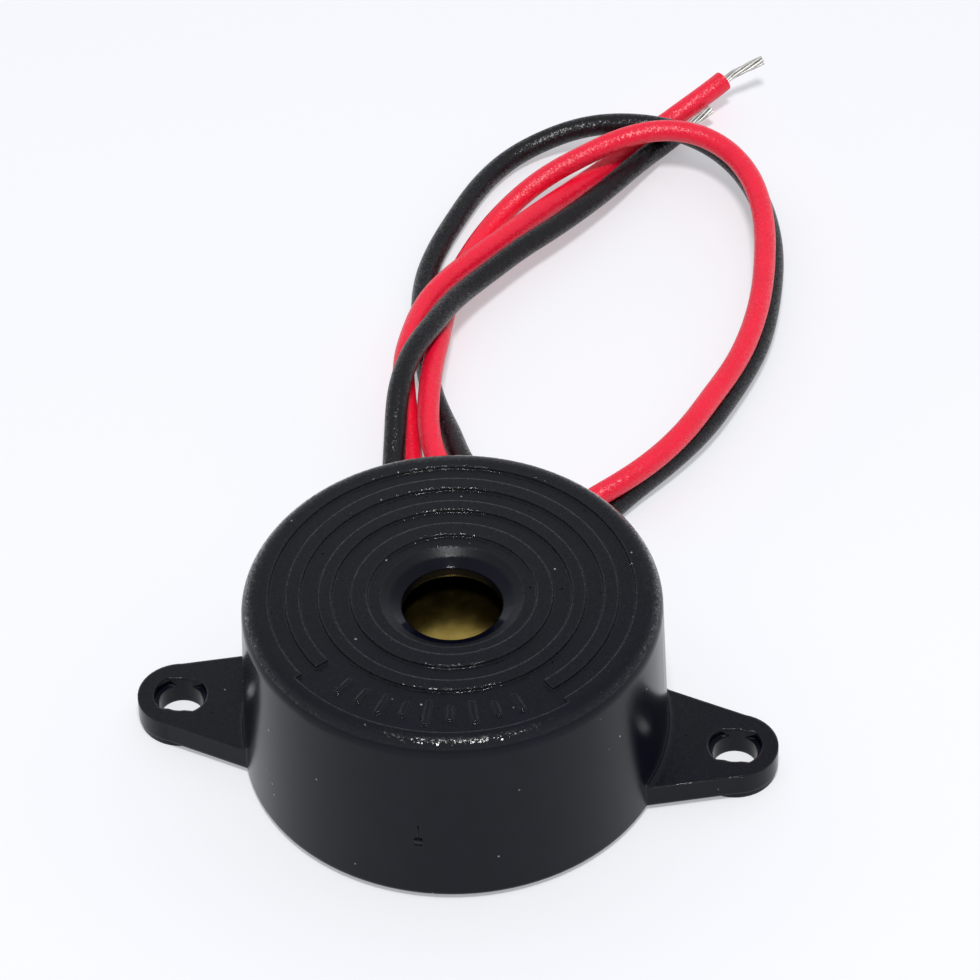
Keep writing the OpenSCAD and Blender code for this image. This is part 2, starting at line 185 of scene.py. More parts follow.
@dataclass(frozen=True)
class Finish:
    """A real material with its colour, gloss, grain and mottling.

    Attributes:
        name: What the material is and how its surface was made.
        colour: Main colour.
        mottle: Colour that the mottling tends to.
        roughness: Lowest and highest roughness over the surface.
        grain_mm: Size of one grain of the relief.
        relief_mm: Height of the relief.
        mottle_mm: Size of one patch of the mottling.
        metallic: 1 for a bare metal.
        ior: Index of refraction, left alone on a metal.
        specular: Level of the reflection, 0.5 for what the index of refraction gives.
        facet_mm: Size of one facet of a granular gloss.
        facet_tilt: How far the facets lean, 0 for none.
    """

    name: str
    colour: str
    mottle: str
    roughness: Span
    grain_mm: float
    relief_mm: float
    mottle_mm: float
    metallic: float = 0.0
    ior: float = 1.5
    specular: float = 0.5
    facet_mm: float = 0.07
    facet_tilt: float = 0.0

    def build(self) -> bpy.types.Material:
        """Makes the material, with its relief, gloss and colour from nodes.

        Returns:
            The material.
        """
        material = bpy.data.materials.new(self.name)
        material.use_nodes = True
        tree = material.node_tree
        shader = tree.nodes["Principled BSDF"]
        shader.inputs["Metallic"].default_value = self.metallic
        if not self.metallic:
            shader.inputs["IOR"].default_value = self.ior
            shader.inputs["Specular IOR Level"].default_value = self.specular
        place = add_node(tree, "TexCoord").outputs["Object"]
        self.dress(tree, shader, place)
        return material

    def dress(
        self,
        tree: bpy.types.NodeTree,
        shader: bpy.types.Node,
        place: bpy.types.NodeSocket,
    ) -> None:
        """Links mottling, gloss and grain to the shader.

        Args:
            tree: Node tree of the material.
            shader: Its surface shader.
            place: Object coordinates.
        """
        patches, smear, grain = (
            add_node(tree, "TexNoise", {"Vector": place, "Scale": scale_of(size), "Detail": detail})
            for size, detail in (
                (self.mottle_mm, 3.0), (SMEAR_SHARE * self.mottle_mm, 4.0), (self.grain_mm, 3.0)
            )
        )
        share = add_node(tree, "MapRange", {0: patches.outputs[0], **ranges(CLEAR_PATCHES)})
        ends = {0: share.outputs[0], 6: linear(self.colour), 7: linear(self.mottle)}
        colour = add_node(tree, "Mix", ends, data_type="RGBA").outputs[2]
        gloss = add_node(tree, "MapRange", {0: smear.outputs[0], **ranges(SOFT_PATCHES, self.roughness)})
        relief = {"Height": grain.outputs[0], "Strength": 1.0, "Distance": self.relief_mm * MM}
        normal = add_node(tree, "Bump", relief).outputs[0]
        if self.facet_tilt:
            cells, _ = scattered(tree, place, self.facet_mm)
            normal = lean_facets(tree, normal, cells, self.facet_tilt)
        tree.links.new(colour, shader.inputs["Base Color"])
        tree.links.new(gloss.outputs[0], shader.inputs["Roughness"])
        tree.links.new(normal, shader.inputs["Normal"])


@dataclass(frozen=True)
class MouldedHousing(Finish):
    """Black ABS from a mould that is spark-eroded on the face and polished on the wall.

    Attributes:
        face_roughness: Roughness of one facet of the face, its rounded edge and the ears' tops.
        funnel_roughness: Roughness of the funnel round the port.
        side_roughness: Roughness of the ears' sides.
        flank_roughness: Roughness of the wall beside the ears, where the tool was hard to polish.
        edge_roughness: Roughness of one facet on the lips of the face, worn smooth.
        wall_r_mm: Largest radius of the wall, at its foot.
        face_r_mm: Radius of the flat of the face.
        wall_top_mm: Height at which the wall's polish ends.
        face_mm: Height just below the flat of the face.
        ear_top_mm: Height just below the ears' tops.
        funnel_r_mm: Radius of the smooth funnel.
        edge_mm: Radius that the mould leaves on every sharp edge.
        face_tilt: How far the facets of the flat face lean.
        rim_tilt: How far they lean on the rounded edge and the lips, where the spark bites deeper.
        edge_polish: Strength of the extra shine that the rounded edge and the lips have.
        rare_tilt: How much further the rare steep facets lean, which glint one by one.
        rarity: How rare they are.
        wall_relief: Share of the grain that is left on the polished wall.
        funnel_relief: Share of the facets' tilt that is left in the smooth funnel.
        lip_match: Agreement of the rounded normal with the flat one, on a lip and beside it.
        soft_mm: Width over which one zone turns into the next.
        ear_soft_mm: The same at the ears' tops.
        rim_soft_mm: The same from the rim to the flat of the face.
        ear_gap_mm: Distance from the wall at which the ears' sides begin.
        flank_x_mm: Distance from the middle plane at which the flank is fully rough.
        flank_soft_mm: Width over which the wall turns into the flank.
        dust_and_glint_mm: Spacing of the pale specks, partly dust and flash and partly painted glints.
        dust_and_glint_share: Share of those places that hold a speck.
        dust_and_glint_edge: Where a speck begins to fade and where it ends, as shares of the spacing.
        pale_dust_and_glint: Colour of the specks, dust and painted glints alike.
        painted_face_sheen: Painted sheen, the paler colour that the face goes to towards its rear left,
            standing in for the room's reflection.
        sheen_way: The way along which the painted sheen grows.
        sheen_reach_mm: How far from the middle the painted sheen still changes.
        sheen_least: Share of the painted sheen at the face's front right.
    """

    face_roughness: float = 0.3
    funnel_roughness: float = 0.3
    side_roughness: float = 0.2
    flank_roughness: float = 0.21
    edge_roughness: float = 0.08
    wall_r_mm: float = WALL_R_MM
    face_r_mm: float = 10.0
    wall_top_mm: float = TOP_MM - 0.42
    face_mm: float = TOP_MM - 0.08
    ear_top_mm: float = 1.62
    funnel_r_mm: float = 3.7
    edge_mm: float = 0.17
    face_tilt: float = 0.17
    rim_tilt: float = 0.3
    edge_polish: float = 0.35
    rare_tilt: float = 1.8
    rarity: float = 250.0
    wall_relief: float = 0.08
    funnel_relief: float = 0.03
    lip_match: Span = (0.97, 0.996)
    soft_mm: float = 0.1
    ear_soft_mm: float = 0.06
    rim_soft_mm: float = 0.15
    ear_gap_mm: float = 0.2
    flank_x_mm: float = 9.6
    flank_soft_mm: float = 1.0
    dust_and_glint_mm: float = 0.8
    dust_and_glint_share: float = 0.14
    dust_and_glint_edge: Span = (0.03, 0.09)
    pale_dust_and_glint: str = "#b0b0b8"
    painted_face_sheen: str = "#191a1d"
    sheen_way: Point = (-0.4, 0.9, 0.0)
    sheen_reach_mm: float = 9.0
    sheen_least: float = 0.25

    def zones(
        self, tree: bpy.types.NodeTree, place: bpy.types.NodeSocket
    ) -> dict[str, bpy.types.NodeSocket]:
        """Tells the parts of the housing apart by height and radius.

        Args:
            tree: Node tree of the material.
            place: Object coordinates.

        Returns:
            Shares of textured face, rounded rim, funnel, ears' sides and the wall beside the ears.
        """

        def past(
            value: bpy.types.NodeSocket, level_mm: float, soft_mm: float, share: Span = (0.0, 1.0)
        ) -> bpy.types.NodeSocket:
            """Goes from one share to the other over the soft stretch that ends at a level."""
            stretch = ranges(((level_mm - soft_mm) * MM, level_mm * MM), share)
            return add_node(tree, "MapRange", {0: value, **stretch}).outputs[0]

        x, y, height = add_node(tree, "SeparateXYZ", {0: place}).outputs
        flat = add_node(tree, "CombineXYZ", {0: x, 1: y}).outputs[0]
        radius = add_node(tree, "VectorMath", {0: flat}, operation="LENGTH").outputs["Value"]
        across = add_node(tree, "Math", {0: x}, operation="ABSOLUTE").outputs[0]
        high = past(height, self.wall_top_mm, self.soft_mm)
        inside = past(radius, self.funnel_r_mm, self.soft_mm, (1.0, 0.0))
        outer = past(radius, self.face_r_mm, self.soft_mm)
        below_face = past(height, self.face_mm, self.rim_soft_mm, (1.0, 0.0))
        off_wall = past(radius, self.wall_r_mm + self.ear_gap_mm, self.soft_mm)
        above_ear = past(height, self.ear_top_mm, self.ear_soft_mm)
        ear_top, rounded, funnel = (
            add_node(tree, "Math", {0: first, 1: second}, operation="MULTIPLY").outputs[0]
            for first, second in ((off_wall, above_ear), (high, below_face), (high, inside))
        )
        return {
            "face": add_node(tree, "Math", {0: high, 1: ear_top}, operation="MAXIMUM").outputs[0],
            "rim": add_node(tree, "Math", {0: rounded, 1: outer}, operation="MULTIPLY").outputs[0],
            "funnel": funnel,
            "side": off_wall,
            "flank": past(across, self.flank_x_mm, self.flank_soft_mm),
        }

    def dress(
        self,
        tree: bpy.types.NodeTree,
        shader: bpy.types.Node,
        place: bpy.types.NodeSocket,
    ) -> None:
        """Gives each zone its gloss, the edges their radius and the face its facets.

        Args:
            tree: Node tree of the material.
            shader: Its surface shader.
            place: Object coordinates.
        """
        super().dress(tree, shader, place)
        zones = self.zones(tree, place)
        rounded = add_node(tree, "Bevel", {"Radius": self.edge_mm * MM}, samples=6).outputs[0]
        lip = {0: zones["face"], 1: self.bend(tree, rounded)}
        zones["lip"] = add_node(tree, "Math", lip, operation="MULTIPLY").outputs[0]
        crest = {0: zones["rim"], 1: zones["lip"]}
        zones["crest"] = add_node(tree, "Math", crest, operation="MAXIMUM").outputs[0]
        rough = shader.inputs["Roughness"].links[0].from_socket
        for zone, value in (
            ("flank", self.flank_roughness),
            ("side", self.side_roughness),
            ("face", self.face_roughness),
            ("rim", self.edge_roughness),
            ("lip", self.edge_roughness),
            ("funnel", self.funnel_roughness),
        ):
            ends = {0: zones[zone], 2: rough, 3: value}
            rough = add_node(tree, "Mix", ends, data_type="FLOAT").outputs[0]
        bump = shader.inputs["Normal"].links[0].from_node
        relief, polish = (
            add_node(tree, "MapRange", {0: zones[zone], **ranges((0.0, 1.0), span)}).outputs[0]
            for zone, span in (("face", (self.wall_relief, 1.0)), ("crest", (0.0, self.edge_polish)))
        )
        tree.links.new(relief, bump.inputs["Strength"])
        tree.links.new(rounded, bump.inputs["Normal"])
        normal = self.facets(tree, place, zones, bump.outputs[0])
        black = shader.inputs["Base Color"].links[0].from_socket
        # Painted sheen: the face's colour turns paler towards its rear left, standing in for the room's
        # reflection there.
        grown = {0: self.painted_sheen_share(tree, place, zones), 6: black, 7: linear(self.painted_face_sheen)}
        black = add_node(tree, "Mix", grown, data_type="RGBA").outputs[2]
        for name, socket in (
            # Pale specks in the colour: partly dust, partly painted glints.
            ("Base Color", self.paint_dust_and_glints(tree, place, black)),
            ("Roughness", rough),
            ("Normal", normal),
            ("Coat Normal", normal),
            ("Coat Weight", polish),
        ):
            tree.links.new(socket, shader.inputs[name])
        shader.inputs["Coat Roughness"].default_value = self.edge_roughness

    def bend(
        self, tree: bpy.types.NodeTree, rounded: bpy.types.NodeSocket
    ) -> bpy.types.NodeSocket:
        """Finds the lips of sharp edges, where the rounded normal leaves the flat one.

        Args:
            tree: Node tree of the material.
            rounded: Normal that runs round the edges.

        Returns:
            1 on a lip, 0 away from it.
        """
        plain = add_node(tree, "NewGeometry").outputs["True Normal"]
        match = add_node(tree, "VectorMath", {0: rounded, 1: plain}, operation="DOT_PRODUCT")
        span = ranges(self.lip_match, (1.0, 0.0))
        return add_node(tree, "MapRange", {0: match.outputs["Value"], **span}).outputs[0]

    def painted_sheen_share(
        self,
        tree: bpy.types.NodeTree,
        place: bpy.types.NodeSocket,
        zones: dict[str, bpy.types.NodeSocket],
    ) -> bpy.types.NodeSocket:
        """Grows the painted sheen over the face from its front right to its rear left.

        Args:
            tree: Node tree of the material.
            place: Object coordinates.
            zones: Share of each zone at each point.

        Returns:
            Share of the painted sheen.
        """
        along = add_node(tree, "VectorMath", {0: place, 1: self.sheen_way}, operation="DOT_PRODUCT")
        reach = self.sheen_reach_mm * MM
        span = ranges((-reach, reach), (self.sheen_least, 1.0))
        share = add_node(tree, "MapRange", {0: along.outputs["Value"], **span}).outputs[0]
        return add_node(tree, "Math", {0: zones["face"], 1: share}, operation="MULTIPLY").outputs[0]

    def facets(
        self,
        tree: bpy.types.NodeTree,
        place: bpy.types.NodeSocket,
        zones: dict[str, bpy.types.NodeSocket],
        grained: bpy.types.NodeSocket,
    ) -> bpy.types.NodeSocket:
        """Leans the normal of each small facet a little, and of a few of them a lot.

        Args:
            tree: Node tree of the material.
            place: Object coordinates.
            zones: Share of each zone at each point.
            grained: Normal with its grain.

        Returns:
            The normal with its facets.
        """
        cells, draw = scattered(tree, place, self.facet_mm)
        steep = add_node(tree, "Math", {0: draw, 1: self.rarity}, operation="POWER").outputs[0]
        common, smooth = (
            add_node(tree, "MapRange", {0: zones[zone], **ranges((0.0, 1.0), span)}).outputs[0]
            for zone, span in (
                ("crest", (self.face_tilt, self.rim_tilt)), ("funnel", (1.0, self.funnel_relief))
            )
        )
        steps = {0: steep, 1: self.rare_tilt, 2: common}
        tilt = add_node(tree, "Math", steps, operation="MULTIPLY_ADD").outputs[0]
        for share in (smooth, zones["face"]):
            tilt = add_node(tree, "Math", {0: tilt, 1: share}, operation="MULTIPLY").outputs[0]
        return lean_facets(tree, grained, cells, tilt)

    def paint_dust_and_glints(
        self, tree: bpy.types.NodeTree, place: bpy.types.NodeSocket, black: bpy.types.NodeSocket
    ) -> bpy.types.NodeSocket:
        """Scatters a few pale specks over the black, partly dust and partly painted glints.

        Args:
            tree: Node tree of the material.
            place: Object coordinates.
            black: Colour of the plastic.

        Returns:
            The colour with its specks.
        """
        spots, draw = scattered(tree, place, self.dust_and_glint_mm)
        limit = {0: draw, 1: 1 - self.dust_and_glint_share}
        chosen = add_node(tree, "Math", limit, operation="GREATER_THAN").outputs[0]
        fade = {0: spots.outputs["Distance"], **ranges(self.dust_and_glint_edge, (1.0, 0.0))}
        core = add_node(tree, "MapRange", fade).outputs[0]
        share = add_node(tree, "Math", {0: chosen, 1: core}, operation="MULTIPLY").outputs[0]
        ends = {0: share, 6: black, 7: linear(self.pale_dust_and_glint)}
        return add_node(tree, "Mix", ends, data_type="RGBA").outputs[2]


# Polished wall that mirrors the table softly, satin face with single bright grains, glints on the lips. The
# spark-eroded grain is about 0.03 mm and is drawn three times as coarse, or it wouldn't show.
# Its face is painted paler towards the rear left, a painted sheen that stands in for the room's reflection.
# Its pale specks are partly dust and partly painted glints.
BLACK_ABS = MouldedHousing(
    "moulded_black_abs", "#070813", "#0a0b19", (0.06, 0.12), 0.14, 0.003, 1.4, ior=1.27, facet_mm=0.09
)
# Dull dark grey without mirror images, from a cover that nobody looks at.
COVER_ABS = Finish("matt_abs_cover", "#141416", "#1a1a1d", (0.4, 0.55), 0.2, 0.004, 3.0, ior=1.54)
# Saturated red with a broken, slightly pink streak of light along its crown. The skin's unevenness from the
# extruder is finer than 0.03 mm and is drawn at 0.07 mm, or it wouldn't show.
RED_PVC = Finish(
    "extruded_pvc_red", "#fa133a", "#f41136", (0.32, 0.4), 0.1, 0.002, 1.5, ior=1.46, specular=0.6,
    facet_tilt=0.38,
)
# Deep black with the same broken streak in grey.
BLACK_PVC = Finish(
    "extruded_pvc_black", "#09080c", "#0e0d12", (0.27, 0.34), 0.1, 0.002, 1.5, ior=1.46, specular=0.45,
    facet_tilt=0.38,
)
# Soft silver-grey threads, dulled by handling, with no sharp mirror images.
TINNED_COPPER = Finish("tinned_copper_strand", "#d4d3ce", "#b5b3ad", (0.42, 0.55), 0.08, 0.002, 0.6, 1.0)
# Yellow metal that glows where the lamp reaches down the port and is brown in its shade.
ROLLED_BRASS = Finish("rolled_brass", "#c0a858", "#a89048", (0.21, 0.27), 0.05, 0.001, 1.2, 1.0)
# Glossy green lacquer with a faint orange peel.
SOLDER_MASK = Finish("solder_mask", "#1e5b34", "#245f3a", (0.2, 0.35), 0.3, 0.003, 2.0)
# Pinkish metal, lightly tarnished in patches.
COPPER_FOIL = Finish("copper_foil", "#c8794e", "#a8623c", (0.25, 0.45), 0.1, 0.001, 1.0, 1.0)
# Dull charcoal with a fine sand grain.
CHIP_EPOXY = Finish("moulded_epoxy", "#18181a", "#202022", (0.5, 0.65), 0.05, 0.002, 0.5)
# Bright silver with a slight haze.
TIN_PLATE = Finish("bright_tin_plate", "#cfcfcb", "#b4b4ae", (0.15, 0.3), 0.05, 0.001, 0.4, 1.0)
# Black glaze that shows the lamp as a clear spot.
GLASS_COAT = Finish("resistor_glass_coat", "#141417", "#1d1d21", (0.15, 0.25), 0.1, 0.001, 0.5)
# Stony dark grey that hardly shines.
FERRITE = Finish("sintered_ferrite", "#3b3a3c", "#2c2b2d", (0.55, 0.7), 0.08, 0.004, 0.6)
# Reddish copper seen through clear lacquer.
ENAMELLED_WIRE = Finish("enamelled_copper_wire", "#a2481f", "#8a3a18", (0.2, 0.35), 0.1, 0.002, 0.8, 1.0)
# Fine hook-up wire, its plain colours softly shiny.
WIRE_RED = Finish("fine_wire_red", "#b8202c", "#a01a26", (0.3, 0.4), 0.1, 0.001, 0.6)
WIRE_BLACK = Finish("fine_wire_black", "#18181a", "#222224", (0.3, 0.4), 0.1, 0.001, 0.6)
WIRE_BLUE = Finish("fine_wire_blue", "#2147a6", "#1b3c90", (0.3, 0.4), 0.1, 0.001, 0.6)
# Smooth bright beads, frosted in patches.
SOLDER = Finish("bright_solder", "#bdbdb9", "#a3a39e", (0.2, 0.35), 0.15, 0.003, 0.5, 1.0)
# Chalky cream without gloss.
PIEZO_CERAMIC = Finish("fired_piezo_ceramic", "#cfc6ab", "#bdb396", (0.5, 0.65), 0.05, 0.002, 1.0)
# Pale frosted silver with the print's fine grain.
SILVER_PASTE = Finish("fired_silver_paste", "#d3d2cc", "#bcbab2", (0.4, 0.55), 0.06, 0.002, 0.8, 1.0)
# Off-white rubber with soft, blurred lights.
SILICONE = Finish("white_silicone", "#deded8", "#cfcfc8", (0.35, 0.5), 0.4, 0.01, 1.5)
# Waxy cream resin with a lumpy skin.
SEALING_COMPOUND = Finish("cream_sealing_compound", "#cdc6ad", "#bdb598", (0.4, 0.55), 0.3, 0.01, 1.0)

CAD_FINISHES: dict[str, Finish] = {
    "housing": BLACK_ABS,
    "back_cover": COVER_ABS,
    "circuit_board": SOLDER_MASK,
    "copper_pads": COPPER_FOIL,
    "transistor_body": CHIP_EPOXY,
    "transistor_legs": TIN_PLATE,
    **{
        f"resistor_{place}_{part}": finish
        for place in ("left", "middle", "right")
        for part, finish in (("body", GLASS_COAT), ("ends", TIN_PLATE))
    },
    "inductor_core": FERRITE,
    "inductor_winding": ENAMELLED_WIRE,
    "inductor_terminals": TIN_PLATE,
    "piezo_wire_red": WIRE_RED,
    "piezo_wire_black": WIRE_BLACK,
    "piezo_wire_blue": WIRE_BLUE,
    "board_solder_joints": SOLDER,
    "disc_solder_joints": SOLDER,
    "lead_solder_joints": SOLDER,
    "diaphragm_disc": ROLLED_BRASS,
    "piezo_ceramic": PIEZO_CERAMIC,
    "main_electrode": SILVER_PASTE,
    "feedback_electrode": SILVER_PASTE,
    "diaphragm_adhesive": SILICONE,
    "lead_sealant": SEALING_COMPOUND,
}


def dress_cad_nodes() -> dict[str, bpy.types.Material]:
    """Gives every CAD node that stays its finish.

    Returns:
        The materials by the name of their finish.
    """
    made: dict[str, bpy.types.Material] = {}
    for node, finish in CAD_FINISHES.items():
        if finish.name not in made:
            made[finish.name] = finish.build()
        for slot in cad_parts[node].material_slots:
            slot.material = made[finish.name]
        LOG.info("%s finished in %s", node, finish.name)
    return made


def way_to(azimuth: float, elevation: float) -> Vector:
    """Gives the direction at an azimuth, from -Y towards +X, and a height above the horizon, in degrees."""
    az, el = math.radians(azimuth), math.radians(elevation)
    return Vector((math.sin(az) * math.cos(el), -math.cos(az) * math.cos(el), math.sin(el)))


@dataclass
class Studio:
    """Camera, table, lamp and room.

    Attributes:
        aim: Point that the camera looks at.
        distance: From the aim to the camera.
        azimuth: Camera's place round the vertical, in degrees from -Y towards +X.
        elevation: Camera's height above the horizon, in degrees.
        roll: Turn about the line of sight, in degrees.
        lens: Focal length on a 36 mm sensor, in millimetres.
        clip: Nearest and furthest distance that the camera sees.
        table_half: Half the side of the table top.
        cloud_mm: Size of the faint clouds in the table top.
        paper_share: Share of plain white in the table top as the camera and mirror images show it.
        table: Colour of the table top.
        cloud: Colour of its clouds.
        paper: Its plain white.
        air: Colour of the room.
        lamp_aim: Point that the lamp faces.
        lamp_distance: From there to the lamp.
        lamp_azimuth: Lamp's place round the vertical, as the camera's.
        lamp_elevation: Lamp's height above the horizon, in degrees.
        lamp_size: Side of the square soft box.
        lamp_power: Power in watts.
        horizon_level: Brightness of the room at the horizon, where 1 is white.
        room_level: Brightness of the room overhead.
        dusk_level: Lowest brightness of the room behind the camera, as the part's colours take it up.
        sweep_heights: Heights between which the horizon turns into the room, as sines of the angle.
        dusk_heights: Heights between which the dusk behind the camera ends.
        dusk_depths: Way along Y over which the dusk turns into the bright side.
    """

    aim: Point = (-1.05 * MM, 19.4 * MM, 0.0)
    distance: float = 313.9 * MM
    azimuth: float = 9.39
    elevation: float = 43.82
    roll: float = -1.56
    lens: float = 206.6
    clip: Span = (10 * MM, 5.0)
    table_half: float = 1.5
    cloud_mm: float = 60.0
    paper_share: float = 0.38
    table: str = "#fafbfe"
    cloud: str = "#f8f9fd"
    paper: str = "#fbfcff"
    air: str = "#f6f8ff"
    lamp_aim: Point = (0.0, 10 * MM, 0.0)
    lamp_distance: float = 0.6
    lamp_azimuth: float = 12.0
    lamp_elevation: float = 69.0
    lamp_size: float = 88 * MM
    lamp_power: float = 2.22
    horizon_level: float = 0.95
    room_level: float = 0.58
    dusk_level: float = 0.07
    sweep_heights: Span = (0.02, 0.5)
    dusk_heights: Span = (0.5, 0.92)
    dusk_depths: Span = (-0.25, 0.15)

    def place_camera(self) -> None:
        """Makes the camera and the scene's colour settings."""
        back = way_to(self.azimuth, self.elevation)
        data = bpy.data.cameras.new("studio_camera")
        data.lens = self.lens
        data.clip_start, data.clip_end = self.clip
        camera = bpy.data.objects.new("studio_camera", data)
        turn = (-back).to_track_quat("-Z", "Y").to_matrix().to_4x4()
        spin = Matrix.Rotation(math.radians(self.roll), 4, "Z")
        camera.matrix_world = Matrix.Translation(Vector(self.aim) + back * self.distance) @ turn @ spin
        bpy.context.scene.collection.objects.link(camera)
        bpy.context.scene.camera = camera
        bpy.context.scene.view_settings.view_transform = "Standard"

    def lay_floor(self) -> None:
        """Lays the pale table top."""
        mesh = bpy.data.meshes.new("table_top")
        shape = bmesh.new()
        bmesh.ops.create_grid(shape, x_segments=1, y_segments=1, size=self.table_half)
        shape.to_mesh(mesh)
        shape.free()
        floor = bpy.data.objects.new("table_top", mesh)
        bpy.context.scene.collection.objects.link(floor)
        mesh.materials.append(self.floor_material())

    def floor_material(self) -> bpy.types.Material:
        """Makes the pale matt table top, nearly white to the camera and in mirror images, with its shadows.

        Returns:
            The material.
        """
        material = bpy.data.materials.new("pale_table_top")
        material.use_nodes = True
        tree = material.node_tree
        tree.nodes.clear()
        place = add_node(tree, "TexCoord").outputs["Object"]
        clouds = {"Vector": place, "Scale": scale_of(self.cloud_mm), "Detail": 2.0}
        share = add_node(tree, "TexNoise", clouds).outputs[0]
        ends = {0: share, 6: linear(self.table), 7: linear(self.cloud)}
        tone = add_node(tree, "Mix", ends, data_type="RGBA").outputs[2]
        matt = add_node(tree, "BsdfDiffuse", {"Color": tone}).outputs[0]
        white = add_node(tree, "Emission", {"Color": linear(self.paper), "Strength": 1.0}).outputs[0]
        span = ranges((0.0, 1.0), (0.0, self.paper_share))
        share = add_node(tree, "MapRange", {0: shown(tree), **span}).outputs[0]
        surface = add_node(tree, "MixShader", {0: share, 1: matt, 2: white}).outputs[0]
        add_node(tree, "OutputMaterial", {0: surface})
        return material

    def hang_lamp(self) -> None:
        """Hangs the square soft box that faces the part."""
        out = way_to(self.lamp_azimuth, self.lamp_elevation)
        data = bpy.data.lights.new("main_softbox", "AREA")
        data.shape = "SQUARE"
        data.size = self.lamp_size
        data.energy = self.lamp_power
        lamp = bpy.data.objects.new("main_softbox", data)
        turn = out.to_track_quat("Z", "Y").to_matrix().to_4x4()
        lamp.matrix_world = Matrix.Translation(Vector(self.lamp_aim) + out * self.lamp_distance) @ turn
        bpy.context.scene.collection.objects.link(lamp)

    def fill_room(self) -> None:
        """Sets the room's soft light, bright behind the part and dusky behind the camera."""
        world = bpy.data.worlds.new("studio_room")
        bpy.context.scene.world = world
        world.use_nodes = True
        tree = world.node_tree
        way = add_node(tree, "TexCoord").outputs["Generated"]
        _, depth, height = add_node(tree, "SeparateXYZ", {0: way}).outputs
        sweep, dusk, behind = (
            add_node(tree, "MapRange", {0: value, **ranges(source, target)}).outputs[0]
            for value, source, target in (
                (height, self.sweep_heights, (self.horizon_level, self.room_level)),
                (height, self.dusk_heights, (self.dusk_level, self.room_level)),
                (depth, self.dusk_depths, (0.0, 1.0)),
            )
        )
        pale = add_node(tree, "Math", {0: behind, 1: shown(tree)}, operation="MAXIMUM").outputs[0]
        glow = add_node(tree, "Mix", {0: pale, 2: dusk, 3: sweep}, data_type="FLOAT").outputs[0]
        back = tree.nodes["Background"]
        back.inputs["Color"].default_value = linear(self.air)
        tree.links.new(glow, back.inputs["Strength"])


# Points between two points of a route, before they are spread evenly.
SPAN_STEPS = 16
# Reach of the blur that eases a route, in its own widths.
BLUR_REACH = 4


def smooth_path(route: Sequence[Point], step: float, ease: float) -> np.ndarray:
    """Lays an even curve along the points of a route.

    Args:
        route: Points of the centre line, in metres.
        step: Distance between the points of the result, in metres.
        ease: Length over which the curve evens out the given points, in metres.

    Returns:
        Points of the curve, one row each.
    """
    knots = np.array(route)
    spans = np.linalg.norm(np.diff(knots, axis=0), axis=1)
    ways = np.diff(knots, axis=0) / spans[:, None]
    before, after = spans[:-1, None], spans[1:, None]
    tangents = np.vstack(
        [ways[:1], (ways[:-1] * after + ways[1:] * before) / (before + after), ways[-1:]]
    )
    # Each span is a cubic that follows the route's direction at both its points.
    t = np.linspace(0, 1, SPAN_STEPS, endpoint=False)[:, None]
    dense = [
        (1 + 2 * t) * (1 - t) ** 2 * knots[i]
        + t * (1 - t) ** 2 * spans[i] * tangents[i]
        + t**2 * (3 - 2 * t) * knots[i + 1]
        - t**2 * (1 - t) * spans[i] * tangents[i + 1]
        for i in range(len(spans))
    ]
    line = np.vstack(dense + [knots[-1:]])
    gone = np.concatenate([[0], np.cumsum(np.linalg.norm(np.diff(line, axis=0), axis=1))])
    marks = np.linspace(0, gone[-1], round(gone[-1] / step) + 1)
    line = np.column_stack([np.interp(marks, gone, line[:, k]) for k in range(3)])
    reach = math.ceil(BLUR_REACH * ease / step)
    weights = np.exp(-0.5 * (np.arange(-reach, reach + 1) * step / ease) ** 2)
    weights /= weights.sum()
    run_on = np.vstack(
        [2 * line[0] - line[reach:0:-1], line, 2 * line[-1] - line[-2 : -reach - 2 : -1]]
    )

    def blur(points: np.ndarray) -> np.ndarray:
        """Evens the points out along the curve."""
        return np.column_stack([np.convolve(points[:, k], weights, "same") for k in range(3)])

    # The second pass puts back what the first one cut off the bends.
    once = blur(run_on)
    return (once + blur(run_on - once))[reach:-reach]


def round_cord(name: str, path: np.ndarray, diameter: float) -> bpy.types.Object:
    """Makes a round cord, cut square at both ends, along a path.

    Args:
        name: Name of the piece.
        path: Points of the centre line, in metres.
        diameter: Diameter in metres.

    Returns:
        The cord, as a curve of one open spline.
    """
    curve = bpy.data.curves.new(name, "CURVE")
    curve.dimensions = "3D"
    curve.bevel_depth = diameter / 2
    curve.bevel_resolution = 8
    curve.use_fill_caps = True
    spline = curve.splines.new("POLY")
    spline.points.add(len(path) - 1)
    for point, place in zip(spline.points, path):
        point.co = (*place, 1.0)
    spline.use_smooth = True
    piece = bpy.data.objects.new(name, curve)
    bpy.context.scene.collection.objects.link(piece)
    return piece


class Side(Enum):
    """Which of the two leads is meant."""

    RED = "red"
    BLACK = "black"


